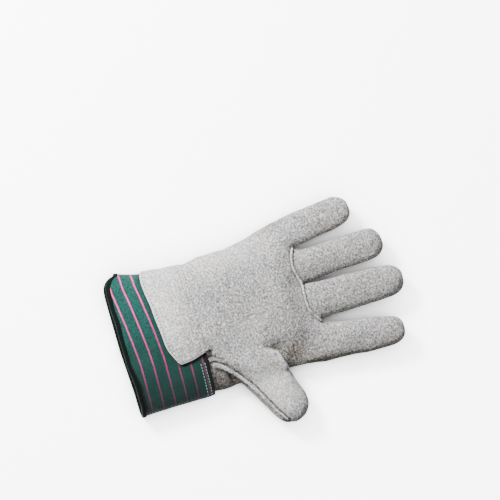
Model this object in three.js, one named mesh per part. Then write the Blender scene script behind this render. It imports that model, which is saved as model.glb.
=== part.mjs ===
import * as THREE from 'three';

// A right-hand rigger glove that lies on its back, palm up, in millimetres. X runs across the
// hand toward the thumb, Y from the cuff opening to the fingertips and Z up from the floor.

// Cuff, an open tube lying flat
const cuffWidth = 120.5;
const cuffLength = 70;
const cuffHeight = 28;
const foldHeight = 11.5;
const cuffWall = 2;
const cuffFlare = 12;
const rimCorner = 19;
const rimBend = 2;
const bindingDepth = 3.4;
const bindingWall = 0.8;

// Leather and its seams
const leather = 1.4;
const seamGap = 0.3;
const seamDip = 0.7;
const clearance = 0.4;
const foldSlack = 0.8;
const insertDepth = 11;
const tabReach = 36;
const tabSlit = 5;

// Hand
const palmLength = 102;
const palmWidth = 124;
const palmHeight = 30;
const floorPress = 0.7;

// Piping over the finger seam and welt beside the thumb seam
const pipingWidth = 2.5;
const pipingHeight = 2;
const pipingFloor = 0.45;
const weltWidth = 6;
const weltTipWidth = 1.6;
const weltHeight = 2;
const weltStop = 0.36;

// Each digit starts at a place in the palm: across is a share of half the palm width and reach
// a share of the palm length above the cuff. Lean is in degrees from Y toward the thumb, taper
// is the width left at the tip, skew is how far its root slants, in halves of its width, and
// start is the share of its straight part where its own sections begin, and corner is where the
// front turns into the sides, a share of half the width. Where the front wraps, it reaches down
// to the middle of both sides.
const digits = {
  little: {
    length: 65.5, width: 29.5, thickness: 18.5, lean: -7.4, taper: 0.96,
    across: -0.99, reach: 0.975, skew: 0, start: 0.17, corner: 0.8, curl: 2.5, spans: 2,
    panels: { front: 'palm', right: 'fourchette_ring_little', back: 'back', left: 'palm' },
    wrap: true,
  },
  ring: {
    length: 84, width: 30, thickness: 20, lean: -2.8, taper: 1,
    across: -0.463, reach: 1, skew: 0, start: 0.17, corner: 0.8, curl: 3, spans: 2,
    panels: {
      front: 'ring_finger_front', right: 'fourchette_middle_ring',
      back: 'back', left: 'fourchette_ring_little',
    },
    wrap: true,
  },
  middle: {
    length: 92.2, width: 35, thickness: 21.5, lean: 0.8, taper: 0.9,
    across: 0.063, reach: 1.004, skew: 0, start: 0.17, corner: 0.8, curl: 3, spans: 2,
    panels: {
      front: 'middle_finger_front', right: 'fourchette_index_middle',
      back: 'back', left: 'fourchette_middle_ring',
    },
    wrap: true,
  },
  index: {
    length: 75.6, width: 35, thickness: 21, lean: 6.9, taper: 0.82,
    across: 0.666, reach: 1.059, skew: 0, start: 0.17, corner: 0.8, curl: 3, spans: 2,
    panels: { front: 'palm', right: 'palm', back: 'palm', left: 'fourchette_index_middle' },
    wrap: true,
  },
  thumb: {
    length: 63.5, width: 44, thickness: 24, lean: 64.5, taper: 0.8,
    across: 0.71, reach: 0.42, skew: 0.95, start: 0.3, corner: 0.7, curl: 2, spans: 3,
    panels: { front: 'palm', right: 'thumb_back', back: 'thumb_back', left: 'palm' },
    wrap: false,
  },
};

// Rows of the hand between the cuff and the finger bases. Along and slant are shares of the
// palm length, the edges shares of half the palm width, and crown and shoulders shares of the
// palm height. Fan is how far a row already follows the steps of the finger bases.
const handRows = [
  { along: 0.137, little: -1.016, seam: 0.565, thumb: 0.92, back: 0.87, slant: 0.05,
    crown: 1, littleShoulder: 0.62, thumbShoulder: 0.84, fan: 0 },
  { along: 0.33, little: -1.03, seam: 0.69, back: 0.8, slant: 0,
    crown: 1.02, littleShoulder: 0.62, thumbShoulder: 0.88, fan: 0 },
  { along: 0.52, little: -1.05, seam: 0.77, back: 0.8, slant: 0,
    crown: 1, littleShoulder: 0.62, thumbShoulder: 0.86, fan: 0.05 },
  { along: 0.7, little: -1.11, seam: 0.855, thumb: 0.885, back: 0.855, slant: 0,
    crown: 0.93, littleShoulder: 0.6, thumbShoulder: 0.7, fan: 0.2 },
  { along: 0.85, little: -1.165, seam: 0.875, thumb: 0.92, back: 0.86, slant: 0,
    crown: 0.82, littleShoulder: 0.62, thumbShoulder: 0.68, fan: 0.55 },
];

// The finger bases across the hand, in shares of half the palm width, of the palm length and
// of the palm height. The webs between the fingers are the ones with a mark.
const knuckles = [
  { across: -1.13, reach: 0.93, height: 0.42, web: false },
  { across: -0.97, reach: 0.965, height: 0.62, web: false },
  { across: -0.777, reach: 1.008, height: 0.5, web: true },
  { across: -0.535, reach: 0.953, height: 0.68, web: false },
  { across: -0.234, reach: 1.007, height: 0.52, web: true },
  { across: 0.12, reach: 0.985, height: 0.72, web: false },
  { across: 0.368, reach: 1.078, height: 0.53, web: true },
  { across: 0.645, reach: 1.065, height: 0.7, web: false },
  { across: 0.9, reach: 1.059, height: 0.52, web: false },
];
const knuckleEdges = { little: -1.21, thumb: 0.955, sideHeight: 0.3, webLift: 0.12, backLift: 0.016 };

// Columns of the wrist, in shares of half the cuff width, front and back
const wristFront = [-0.93, -0.76, -0.55, -0.33, -0.1, 0.13, 0.34, 0.43, 0.52];
const wristBack = [-0.975, -0.72, -0.5, -0.27, -0.04, 0.19, 0.42, 0.65, 0.88];
const slitColumn = 6;

// Rows of the tab: drop is a share of its reach and edge a share of half the cuff width
const tabRows = [
  { drop: 0, edge: 0.34 },
  { drop: 0.3, edge: 0.39 },
  { drop: 0.64, edge: 0.42 },
  { drop: 1, edge: 0.35 },
];
// How far the lower edge of the tab rises, from the fold round the little side to the slit
const tabHem = [0.16, 0.04, -0.06, -0.07, -0.02, 0.02, 0.05, 0.08, 0.24];

// Dents and mounds of the palm side: places in shares of half the palm width and of the palm
// length, reach in shares of the palm width and depth in millimetres, negative for a mound.
const dents = [
  { across: 0.05, along: 0.45, reachAcross: 0.26, reachAlong: 0.24, depth: 2.4 },
  { across: -0.62, along: 0.25, reachAcross: 0.2, reachAlong: 0.2, depth: -1.2 },
  { across: 0.75, along: 0.42, reachAcross: 0.16, reachAlong: 0.16, depth: -1.6 },
  { across: -0.35, along: 0.8, reachAcross: 0.4, reachAlong: 0.07, depth: -0.9 },
];

// Folds of the leather as lines between two places given in the same shares. The leather
// sinks along the line and rises on its left side where the fold overlaps.
const folds = [
  { fromAcross: 0.5, fromAlong: 0.5, toAcross: 0.6, toAlong: 0.625, width: 4, depth: 1.6, rise: 1.2 },
  { fromAcross: 0.6, fromAlong: 0.625, toAcross: 0.87, toAlong: 0.695, width: 4.5, depth: 2.4, rise: 1.6 },
  { fromAcross: 0.42, fromAlong: 0.2, toAcross: 0.62, toAlong: 0.4, width: 7, depth: 0.9, rise: 0 },
  { fromAcross: -0.9, fromAlong: 0.1, toAcross: 0.3, toAlong: 0.06, width: 5, depth: 0.9, rise: 0 },
];

const halfCuff = cuffWidth / 2;
const halfPalm = palmWidth / 2;
const cage = { points: [], faces: [] };

function addPoint(x, y, z) {
  cage.points.push(new THREE.Vector3(x, y, z));
  return cage.points.length - 1;
}

function addFace(panel, ...corners) {
  cage.faces.push({ panel, corners });
}

// Joins two rows of points with quads, the first row nearer the cuff, and marks which side of
// the cuff they lie on
function addStrip(lower, upper, layer, panelAt) {
  for (let i = 0; i + 1 < lower.length; i += 1) {
    addFace(panelAt(i), lower[i], lower[i + 1], upper[i + 1], upper[i]);
    cage.faces[cage.faces.length - 1].layer = layer;
  }
}

// Outline of the cuff across the arm: round on top, flatter on the floor. The angle runs from
// the thumb side over the top, and outward is the distance from the outer face of the cuff.
const topRoundness = 2.3;
const floorRoundness = 4;
const floorSink = 0.6;
const underCuff = clearance + bindingWall;

function ovalPoint(angle, width) {
  const cosine = Math.cos(angle);
  const sine = Math.sin(angle);
  const power = 2 / (sine > 0 ? topRoundness : floorRoundness);
  const rise = sine > 0 ? cuffHeight - foldHeight : foldHeight + floorSink;
  const across = Math.sign(cosine) * Math.abs(cosine) ** power;
  const up = Math.sign(sine) * Math.abs(sine) ** power;
  return new THREE.Vector2(across * width, foldHeight + rise * up);
}

const cuffTaper = 0.02;
const flarePower = 1.75;

// The cuff flares toward its opening on the little side
function cuffHalfAt(angle, y) {
  const share = THREE.MathUtils.clamp(y / cuffLength, 0, 1);
  const flare = Math.cos(angle) < 0 ? cuffFlare * (1 - share) ** flarePower : 0;
  return halfCuff * (1 - cuffTaper * share) + flare;
}

function cuffPoint(angle, outward, y) {
  const step = 0.02;
  const width = cuffHalfAt(angle, y);
  const here = ovalPoint(angle, width);
  const ahead = ovalPoint(angle + step, width);
  const behind = ovalPoint(angle - step, width);
  const along = ahead.sub(behind).normalize();
  const x = here.x + along.y * outward;
  const z = Math.max(here.y - along.x * outward, underCuff - outward);
  return [x, y, z];
}

function topAngle(share) {
  return Math.acos(Math.sign(share) * Math.abs(share) ** (topRoundness / 2));
}

function floorAngle(share) {
  return -Math.acos(Math.sign(share) * Math.abs(share) ** (floorRoundness / 2));
}

const overCuff = clearance + leather;
const inCuff = -(cuffWall + 1.5 * clearance);
const atSlit = (overCuff + inCuff) / 2;
const tabTop = cuffLength + clearance;
const wristY = cuffLength + tabSlit;

function mix(a, b, share) {
  return a + (b - a) * share;
}

function wristOutward(column) {
  if (column === slitColumn) return atSlit;
  return column < slitColumn ? overCuff : inCuff;
}

// First row of the hand, just above the cuff, where the leather parts to pass over and into it
function addWristRow() {
  return {
    front: wristFront.map((share, k) => addPoint(...cuffPoint(topAngle(share), wristOutward(k), wristY))),
    right: addPoint(...cuffPoint(0, inCuff, wristY)),
    back: wristBack.map((share, k) => addPoint(...cuffPoint(floorAngle(share), k ? inCuff : atSlit, wristY))),
    left: addPoint(...cuffPoint(Math.PI, overCuff, wristY)),
  };
}

function columnShares(row, progress) {
  const first = wristFront[0];
  const last = wristFront[wristFront.length - 1];
  const knuckleFirst = knuckles[0].across;
  const knuckleLast = knuckles[knuckles.length - 1].across;
  return knuckles.map((knuckle, k) => mix(
    (wristFront[k] - first) / (last - first),
    (knuckle.across - knuckleFirst) / (knuckleLast - knuckleFirst),
    progress,
  ));
}

const shoulderInset = 6;
const backInset = 9;
const sideShare = 0.36;
const crownPower = 2.6;
const backEdgeRise = 2;
const backEdgePower = 6;

function addHandRow(row) {
  const shares = columnShares(row, row.along);
  const y = cuffLength + row.along * palmLength;
  const leftX = row.little * halfPalm;
  const height = palmHeight * row.crown;
  const fanAt = (k) => row.fan * (knuckles[k].reach - 1) * palmLength;
  const slantAt = (share) => row.slant * share * palmLength;
  const front = shares.map((share, k) => {
    const shoulder = mix(row.littleShoulder, row.thumbShoulder, share);
    const crown = 1 - Math.abs(2 * share - 1) ** crownPower;
    const x = mix(leftX + shoulderInset, row.seam * halfPalm, share);
    return addPoint(x, y + fanAt(k), height * mix(shoulder, 1, crown));
  });
  const back = shares.map((share, k) => {
    const edge = Math.abs(2 * share - 1) ** backEdgePower;
    const x = mix(leftX + backInset, row.back * halfPalm, share);
    return addPoint(x, y + fanAt(k) + slantAt(share), backEdgeRise * edge);
  });
  const sideZ = sideShare * height;
  const left = addPoint(leftX, y + fanAt(0), sideZ);
  const rightY = y + fanAt(knuckles.length - 1) + slantAt(1);
  const right = row.thumb ? addPoint(row.thumb * halfPalm, rightY, sideZ) : null;
  return { front, right, back, left };
}

function addKnuckleRow() {
  const y = (knuckle) => cuffLength + knuckle.reach * palmLength;
  const x = (knuckle) => knuckle.across * halfPalm;
  const sideZ = knuckleEdges.sideHeight * palmHeight;
  const last = knuckles[knuckles.length - 1];
  const { webLift, backLift } = knuckleEdges;
  const lift = (knuckle) => (knuckle.web ? webLift : backLift) * palmHeight;
  return {
    front: knuckles.map((k) => addPoint(x(k), y(k), k.height * palmHeight)),
    back: knuckles.map((k) => addPoint(x(k), y(k), lift(k))),
    webs: knuckles.map((k) => (k.web ? addPoint(x(k), y(k), sideZ) : null)),
    left: addPoint(knuckleEdges.little * halfPalm, y(knuckles[0]), sideZ),
    right: addPoint(knuckleEdges.thumb * halfPalm, y(last), sideZ),
  };
}

function ringOf(row) {
  return [...row.front, row.right, ...row.back.slice().reverse(), row.left];
}

// The hand between two rows. The thumb leaves through the side of the rows in thumbRows, and
// the seam of the wrapped index finger crosses the back from the thumb to the finger web.
const lastColumn = knuckles.length - 1;
const thumbRows = [1, 4];

function addHandSection(lowerRow, upperRow, number) {
  const lower = ringOf(lowerRow);
  const upper = ringOf(upperRow);
  const sides = [lastColumn, lastColumn + 1];
  const besideThumb = number >= thumbRows[0] && number < thumbRows[1];
  for (let i = 0; i < lower.length; i += 1) {
    const next = (i + 1) % lower.length;
    const quad = [lower[i], lower[next], upper[next], upper[i]];
    const backColumn = 2 * lastColumn + 1 - i;
    const onBack = backColumn >= 0 && backColumn < lastColumn && i > sides[1];
    const seamColumn = lastColumn - 1 - (number - thumbRows[1]);
    if (sides.includes(i)) {
      if (!besideThumb) addFace(number < thumbRows[0] ? 'back' : 'palm', ...quad);
    } else if (onBack && number >= thumbRows[1] && backColumn >= seamColumn) {
      if (backColumn > seamColumn) {
        addFace('palm', ...quad);
      } else {
        addFace('back', quad[0], quad[1], quad[2]);
        addFace('palm', quad[0], quad[2], quad[3]);
      }
    } else {
      addFace(onBack ? 'back' : 'palm', ...quad);
    }
  }
}

// Cross-section of a digit as a ring of points: the front from left to right, the right side,
// the back from right to left and the left side.
const cornerDrop = 0.32;
const cornerPower = 2.2;

function addDigitRing(digit, base, at, widthShare, thickShare) {
  const lean = THREE.MathUtils.degToRad(digit.lean);
  const ahead = new THREE.Vector2(Math.sin(lean), Math.cos(lean));
  const right = new THREE.Vector2(ahead.y, -ahead.x);
  const tipRadius = 0.5 * digit.width * digit.taper;
  const along = Math.min(at / (digit.length - tipRadius), 1);
  const half = 0.5 * digit.width * mix(1, digit.taper, along) * widthShare;
  const skew = digit.skew * 0.5 * digit.width * (1 - along) ** 2;
  const lift = digit.curl * (at / digit.length) ** 2;
  const middleZ = 0.5 * digit.thickness + lift;
  const halfThick = 0.5 * digit.thickness * thickShare;
  const place = (side, up) => {
    const reach = at - skew * side;
    const x = base.x + ahead.x * reach + right.x * side * half;
    const y = base.y + ahead.y * reach + right.y * side * half;
    return addPoint(x, y, middleZ + up * halfThick);
  };
  const front = [];
  const back = [];
  for (let k = 0; k <= digit.spans; k += 1) {
    const side = 2 * k / digit.spans - 1;
    const drop = cornerDrop * Math.abs(side) ** cornerPower;
    front.push(place(digit.corner * side, 1 - drop));
    back.push(place(-digit.corner * side, -1 + 0.5 * drop));
  }
  return [...front, place(1, 0), ...back, place(-1, 0)];
}

// The side strips of a digit run out to a point before its tip, so their last quads are split
function addDigitSection(lower, upper, digit, isLast) {
  const { spans, panels, wrap } = digit;
  const names = [];
  for (let k = 0; k < spans; k += 1) names.push(panels.front);
  names.push(wrap ? panels.front : panels.right, panels.right);
  for (let k = 0; k < spans; k += 1) names.push(panels.back);
  names.push(panels.left, wrap ? panels.front : panels.left);
  names.forEach((name, i) => {
    const next = (i + 1) % names.length;
    const [a, b, c, d] = [lower[i], lower[next], upper[next], upper[i]];
    const opensSide = i === spans || i === 2 * spans + 2;
    const closesSide = i === spans + 1 || i === 2 * spans + 3;
    const beside = names[(opensSide ? i + names.length - 1 : i + 1) % names.length];
    if (isLast && (opensSide || closesSide) && beside !== name) {
      addFace(name, a, b, opensSide ? c : d);
      addFace(beside, opensSide ? a : b, c, d);
    } else {
      addFace(name, a, b, c, d);
    }
  });
}

function addTip(ring, digit, base) {
  const { spans, panels } = digit;
  const front = ring.slice(0, spans + 1);
  const right = ring[spans + 1];
  const back = ring.slice(spans + 2, 2 * spans + 3).reverse();
  const left = ring[2 * spans + 3];
  const middle = [left];
  for (let k = 1; k < spans; k += 1) {
    const ahead = cage.points[front[k]].clone().add(cage.points[back[k]]).multiplyScalar(0.5);
    const lean = THREE.MathUtils.degToRad(digit.lean);
    const reach = (ahead.x - base.x) * Math.sin(lean) + (ahead.y - base.y) * Math.cos(lean);
    const side = 2 * k / spans - 1;
    const push = digit.length * (1 - 0.03 * side * side) - reach;
    middle.push(addPoint(ahead.x + Math.sin(lean) * push, ahead.y + Math.cos(lean) * push, ahead.z));
  }
  middle.push(right);
  for (let k = 0; k < spans; k += 1) {
    addFace(panels.front, middle[k + 1], middle[k], front[k], front[k + 1]);
    addFace(panels.back, back[k + 1], back[k], middle[k], middle[k + 1]);
  }
  return middle[1];
}

// Sections along the straight part of a digit, then two round its tip
const straightSections = 4;
const straightEnd = 0.97;
const tipAngles = [30, 58];

function addDigit(digit, baseRing) {
  const base = new THREE.Vector2(
    digit.across * halfPalm,
    cuffLength + digit.reach * palmLength,
  );
  const tipRadius = 0.5 * digit.width * digit.taper;
  const straight = digit.length - tipRadius;
  const rings = [];
  for (let k = 0; k < straightSections; k += 1) {
    const share = mix(digit.start, straightEnd, k / (straightSections - 1));
    rings.push(addDigitRing(digit, base, share * straight, 1, 1));
  }
  for (const angle of tipAngles) {
    const turn = THREE.MathUtils.degToRad(angle);
    const at = straight + tipRadius * Math.sin(turn);
    rings.push(addDigitRing(digit, base, at, Math.cos(turn), Math.cos(turn) ** 0.8));
  }
  let lower = baseRing;
  rings.forEach((ring, i) => {
    addDigitSection(lower, ring, digit, i === rings.length - 1);
    lower = ring;
  });
  return addTip(lower, digit, base);
}

function fingerBase(row, from, to, left, right) {
  const front = row.front.slice(from, to + 1);
  const back = row.back.slice(from, to + 1).reverse();
  return [...front, right, ...back, left];
}

function addHand() {
  const wrist = addWristRow();
  const rows = [wrist, ...handRows.map(addHandRow)];
  const bases = addKnuckleRow();
  rows.push(bases);
  for (let i = 0; i + 1 < rows.length; i += 1) addHandSection(rows[i], rows[i + 1], i);
  const [w2, w4, w6] = bases.webs.filter((web) => web !== null);
  addDigit(digits.little, fingerBase(bases, 0, 2, bases.left, w2));
  addDigit(digits.ring, fingerBase(bases, 2, 4, w2, w4));
  addDigit(digits.middle, fingerBase(bases, 4, 6, w4, w6));
  addDigit(digits.index, fingerBase(bases, 6, 8, w6, bases.right));
  const side = rows.slice(thumbRows[0], thumbRows[1] + 1);
  const thumbFront = side.map((row) => row.front[lastColumn]).reverse();
  const thumbBack = side.map((row) => row.back[lastColumn]);
  const root = [...thumbFront, side[0].right, ...thumbBack, side[side.length - 1].right];
  return { wrist, bases, thumbTip: addDigit(digits.thumb, root) };
}

// The tab: leather of the palm and of the little side that passes over the cuff
function addTab(wrist) {
  const rows = tabRows.map((row, number) => {
    const columns = wristFront.slice(0, slitColumn + 1);
    const stretch = (row.edge - columns[0]) / (columns[slitColumn] - columns[0]);
    const angles = columns.map((share) => topAngle(columns[0] + (share - columns[0]) * stretch));
    const all = [floorAngle(wristBack[0]), Math.PI, ...angles];
    const isHem = number === tabRows.length - 1;
    return all.map((angle, k) => {
      const rise = isHem ? tabHem[k] * tabReach : 0;
      return addPoint(...cuffPoint(angle, overCuff, tabTop - row.drop * tabReach + rise));
    });
  });
  const start = [wrist.back[0], wrist.left, ...wrist.front.slice(0, slitColumn + 1)];
  [start, ...rows].reduce((upper, lower) => {
    addStrip(lower, upper, 'tab', () => 'palm');
    return lower;
  });
}

// The rest of the wrist leather, which is sewn inside the cuff
function addInsert(wrist) {
  const start = [...wrist.front.slice(slitColumn), wrist.right, ...wrist.back.slice().reverse()];
  const angles = [
    ...wristFront.slice(slitColumn).map(topAngle),
    0,
    ...wristBack.slice().reverse().map(floorAngle),
  ];
  const palmStrips = lastColumn - slitColumn;
  let upper = start;
  for (const y of [tabTop, cuffLength - insertDepth]) {
    const lower = angles.map((angle) => addPoint(...cuffPoint(angle, inCuff, y)));
    addStrip(lower, upper, 'insert', (i) => (i < palmStrips ? 'palm' : 'back'));
    upper = lower;
  }
}

// Smooth surface of a mesh after Catmull and Clark
function edgesOf(mesh) {
  const edges = new Map();
  mesh.faces.forEach((face, number) => {
    face.corners.forEach((a, i) => {
      const b = face.corners[(i + 1) % face.corners.length];
      const key = a < b ? `${a}_${b}` : `${b}_${a}`;
      if (!edges.has(key)) edges.set(key, { a, b, faces: [] });
      edges.get(key).faces.push(number);
    });
  });
  return edges;
}

function average(points) {
  const sum = new THREE.Vector3();
  points.forEach((point) => sum.add(point));
  return sum.divideScalar(points.length);
}

function subdivide(mesh) {
  const edges = edgesOf(mesh);
  const facePoints = mesh.faces.map((face) => average(face.corners.map((i) => mesh.points[i])));
  const around = mesh.points.map(() => ({ faces: [], edges: [], border: [] }));
  mesh.faces.forEach((face, number) => face.corners.forEach((i) => around[i].faces.push(number)));
  const edgeIndex = new Map();
  const edgePoints = [];
  for (const [key, edge] of edges) {
    const ends = [mesh.points[edge.a], mesh.points[edge.b]];
    const isBorder = edge.faces.length === 1;
    edgeIndex.set(key, mesh.points.length + edgePoints.length);
    edgePoints.push(average(isBorder ? ends : [...ends, ...edge.faces.map((f) => facePoints[f])]));
    around[edge.a].edges.push(edge);
    around[edge.b].edges.push(edge);
    if (isBorder) {
      around[edge.a].border.push(mesh.points[edge.b]);
      around[edge.b].border.push(mesh.points[edge.a]);
    }
  }
  const vertexPoints = mesh.points.map((point, i) => {
    const { faces: nearFaces, edges: nearEdges, border } = around[i];
    if (border.length) return average([...border, ...Array(6).fill(point)]);
    const n = nearEdges.length;
    const faceMean = average(nearFaces.map((f) => facePoints[f]));
    const middles = nearEdges.map((e) => average([mesh.points[e.a], mesh.points[e.b]]));
    const edgeMean = average(middles);
    return faceMean.addScaledVector(edgeMean, 2).addScaledVector(point, n - 3).divideScalar(n);
  });
  const firstFace = mesh.points.length + edgePoints.length;
  const keyOf = (a, b) => (a < b ? `${a}_${b}` : `${b}_${a}`);
  const faces = [];
  mesh.faces.forEach((face, number) => {
    const { corners, panel, layer } = face;
    corners.forEach((corner, i) => {
      const after = edgeIndex.get(keyOf(corner, corners[(i + 1) % corners.length]));
      const before = edgeIndex.get(keyOf(corners[(i + corners.length - 1) % corners.length], corner));
      faces.push({ panel, layer, corners: [corner, after, firstFace + number, before] });
    });
  });
  return { points: [...vertexPoints, ...edgePoints, ...facePoints], faces };
}

// Where the points of a mesh of quads come to lie when it is divided without end
function limitPoints(mesh) {
  const edges = edgesOf(mesh);
  const near = mesh.points.map(() => ({ edges: [], across: [], border: [] }));
  for (const edge of edges.values()) {
    const isBorder = edge.faces.length === 1;
    for (const [one, other] of [[edge.a, edge.b], [edge.b, edge.a]]) {
      near[one].edges.push(mesh.points[other]);
      if (isBorder) near[one].border.push(mesh.points[other]);
    }
  }
  mesh.faces.forEach(({ corners }) => {
    corners.forEach((corner, i) => near[corner].across.push(mesh.points[corners[(i + 2) % 4]]));
  });
  return mesh.points.map((point, i) => {
    const { edges: beside, across, border } = near[i];
    if (border.length) return average([...border, ...Array(4).fill(point)]);
    const n = beside.length;
    const sum = point.clone().multiplyScalar(n * n);
    beside.forEach((p) => sum.addScaledVector(p, 4));
    across.forEach((p) => sum.add(p));
    return sum.divideScalar(n * (n + 5));
  });
}

// Moves the cage until its smooth surface passes through the points it was given
function smoothSkin() {
  const targets = cage.points.map((point) => point.clone());
  for (let round = 0; round < 10; round += 1) {
    const reached = limitPoints(subdivide(cage));
    cage.points.forEach((point, i) => point.add(targets[i]).sub(reached[i]));
  }
  const skin = subdivide(cage);
  return { points: limitPoints(skin), faces: skin.faces };
}

function faceNormal(mesh, face) {
  const [a, b, c, d] = face.corners.map((i) => mesh.points[i]);
  return c.clone().sub(a).cross(d.clone().sub(b));
}

function normalsOf(mesh) {
  const normals = mesh.points.map(() => new THREE.Vector3());
  for (const face of mesh.faces) {
    const normal = faceNormal(mesh, face);
    face.corners.forEach((i) => normals[i].add(normal));
  }
  return normals.map((normal) => normal.normalize());
}

function smoothStep(share) {
  const s = THREE.MathUtils.clamp(share, 0, 1);
  return s * s * (3 - 2 * s);
}

function palmPlace(across, along) {
  return new THREE.Vector2(across * halfPalm, cuffLength + along * palmLength);
}

function dentDepth(point) {
  const across = point.x / halfPalm;
  const along = (point.y - cuffLength) / palmLength;
  let depth = 0;
  for (const dent of dents) {
    const u = (across - dent.across) / (2 * dent.reachAcross);
    const v = (along - dent.along) / dent.reachAlong;
    depth += dent.depth * Math.exp(-2 * (u * u + v * v));
  }
  for (const fold of folds) {
    const start = palmPlace(fold.fromAcross, fold.fromAlong);
    const line = palmPlace(fold.toAcross, fold.toAlong).sub(start);
    const place = new THREE.Vector2(point.x, point.y).sub(start);
    const share = THREE.MathUtils.clamp(place.dot(line) / line.lengthSq(), 0, 1);
    const nearest = line.clone().multiplyScalar(share);
    const gap = place.distanceTo(nearest) / fold.width;
    const side = Math.sign(line.x * place.y - line.y * place.x);
    const riseGap = gap - 1.2;
    depth += fold.depth * Math.exp(-gap * gap);
    if (side < 0) depth -= fold.rise * Math.exp(-riseGap * riseGap);
  }
  return depth;
}

// The angle at which the outline of the cuff is nearest to a point of the skin
const searchSteps = 720;

function nearestAngle(point, outward) {
  let best = 0;
  let least = Infinity;
  for (let i = 0; i < searchSteps; i += 1) {
    const angle = 2 * Math.PI * i / searchSteps - Math.PI / 2;
    const [x, , z] = cuffPoint(angle, outward, point.y);
    const gap = Math.hypot(point.x - x, point.z - z);
    if (gap < least) {
      least = gap;
      best = angle;
    }
  }
  return best;
}

// Lays the tab on the cuff and the insert inside it, each with its clearance
function seatOnCuff(skin) {
  const seats = new Map();
  for (const { layer, corners } of skin.faces) {
    if (layer) corners.forEach((i) => seats.set(i, layer === 'tab' ? overCuff : inCuff));
  }
  for (const [i, outward] of seats) {
    const point = skin.points[i];
    if (point.y < tabTop + 0.5 * tabSlit) {
      const angle = nearestAngle(point, outward);
      const slack = outward > 0 ? foldSlack * Math.abs(Math.cos(angle)) ** 6 : 0;
      point.fromArray(cuffPoint(angle, outward + slack, point.y));
    }
  }
}

// Dents the palm side, sinks the seams and presses the glove flat where it meets the floor
function shapeSkin(skin) {
  const normals = normalsOf(skin);
  const onSeam = skin.points.map(() => false);
  for (const edge of edgesOf(skin).values()) {
    const panels = new Set(edge.faces.map((number) => skin.faces[number].panel));
    if (panels.size > 1) {
      onSeam[edge.a] = true;
      onSeam[edge.b] = true;
    }
  }
  const halfHeight = 0.5 * palmHeight;
  skin.points.forEach((point, i) => {
    const frontShare = smoothStep((point.z - 0.6 * halfHeight) / (0.6 * halfHeight));
    const aboveCuff = smoothStep((point.y - wristY) / (0.1 * palmLength));
    point.addScaledVector(normals[i], -dentDepth(point) * frontShare * aboveCuff);
    if (onSeam[i] && point.y > wristY) point.addScaledVector(normals[i], -seamDip);
    if (point.y > wristY) {
      const low = point.z - floorPress;
      point.z = low < 0 ? 0 : low < floorPress ? point.z - floorPress * (1 - low / floorPress) : point.z;
    }
  });
}

// A panel as a wall of leather: its share of the skin, the same moved inward, and the edges.
// Its borders keep back from the seam line by half the seam gap.
function panelEdges(faces) {
  const borders = new Map();
  for (const { corners } of faces) {
    corners.forEach((a, i) => {
      const b = corners[(i + 1) % corners.length];
      if (!borders.delete(`${b}_${a}`)) borders.set(`${a}_${b}`, [a, b]);
    });
  }
  return [...borders.values()];
}

function panelGeometry(skin, normals, panel) {
  const faces = skin.faces.filter((face) => face.panel === panel);
  const borders = panelEdges(faces);
  const inward = new Map();
  for (const [a, b] of borders) {
    const direction = skin.points[b].clone().sub(skin.points[a]).normalize();
    for (const i of [a, b]) {
      if (!inward.has(i)) inward.set(i, []);
      inward.get(i).push(normals[i].clone().cross(direction).normalize());
    }
  }
  const index = new Map();
  const outer = [];
  for (const { corners } of faces) {
    for (const i of corners) {
      if (!index.has(i)) {
        index.set(i, outer.length);
        const place = skin.points[i].clone();
        if (inward.has(i)) {
          const sides = inward.get(i);
          const middle = average(sides).normalize();
          const reach = Math.max(middle.dot(sides[0]), 0.5);
          place.addScaledVector(middle, 0.5 * seamGap / reach);
        }
        outer.push({ place, normal: normals[i] });
      }
    }
  }
  const count = outer.length;
  const places = [
    ...outer.map(({ place }) => place),
    ...outer.map(({ place, normal }) => place.clone().addScaledVector(normal, -leather)),
  ];
  const triangles = [];
  for (const { corners } of faces) {
    const [a, b, c, d] = corners.map((i) => index.get(i));
    const shortFirst = places[a].distanceTo(places[c]) <= places[b].distanceTo(places[d]);
    const pair = shortFirst ? [[a, b, c], [a, c, d]] : [[a, b, d], [b, c, d]];
    for (const [i, j, k] of pair) triangles.push(i, j, k, count + k, count + j, count + i);
  }
  for (const [a, b] of borders.map((edge) => edge.map((i) => index.get(i)))) {
    triangles.push(b, a, count + a, b, count + a, count + b);
  }
  return geometryOf(places, triangles);
}

function geometryOf(places, triangles) {
  const geometry = new THREE.BufferGeometry();
  geometry.setAttribute('position', new THREE.Float32BufferAttribute(
    places.flatMap((place) => [place.x, place.y, place.z]),
    3,
  ));
  geometry.setIndex(triangles);
  geometry.computeVertexNormals();
  return geometry;
}

// Closed surface through rings of points, with a lid at each end unless the rings close up
function ringsGeometry(rings, closed) {
  const size = rings[0].length;
  const triangles = [];
  const steps = closed ? rings.length : rings.length - 1;
  for (let r = 0; r < steps; r += 1) {
    const here = r * size;
    const there = ((r + 1) % rings.length) * size;
    for (let i = 0; i < size; i += 1) {
      const next = (i + 1) % size;
      triangles.push(here + i, here + next, there + next, here + i, there + next, there + i);
    }
  }
  const places = rings.flat();
  if (!closed) {
    for (const [start, flip] of [[0, true], [(rings.length - 1) * size, false]]) {
      const middle = places.length;
      places.push(average(places.slice(start, start + size)));
      for (let i = 0; i < size; i += 1) {
        const next = (i + 1) % size;
        triangles.push(middle, start + (flip ? next : i), start + (flip ? i : next));
      }
    }
  }
  return geometryOf(places, triangles);
}

// The cuff opening stands back where the cuff folds round the little side
// Edge of the opening: its corner is round on the little side, and it bends in on the other
const cornerShare = 0.93;
const bendFrom = 0.2;
const bendTo = 0.6;

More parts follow.
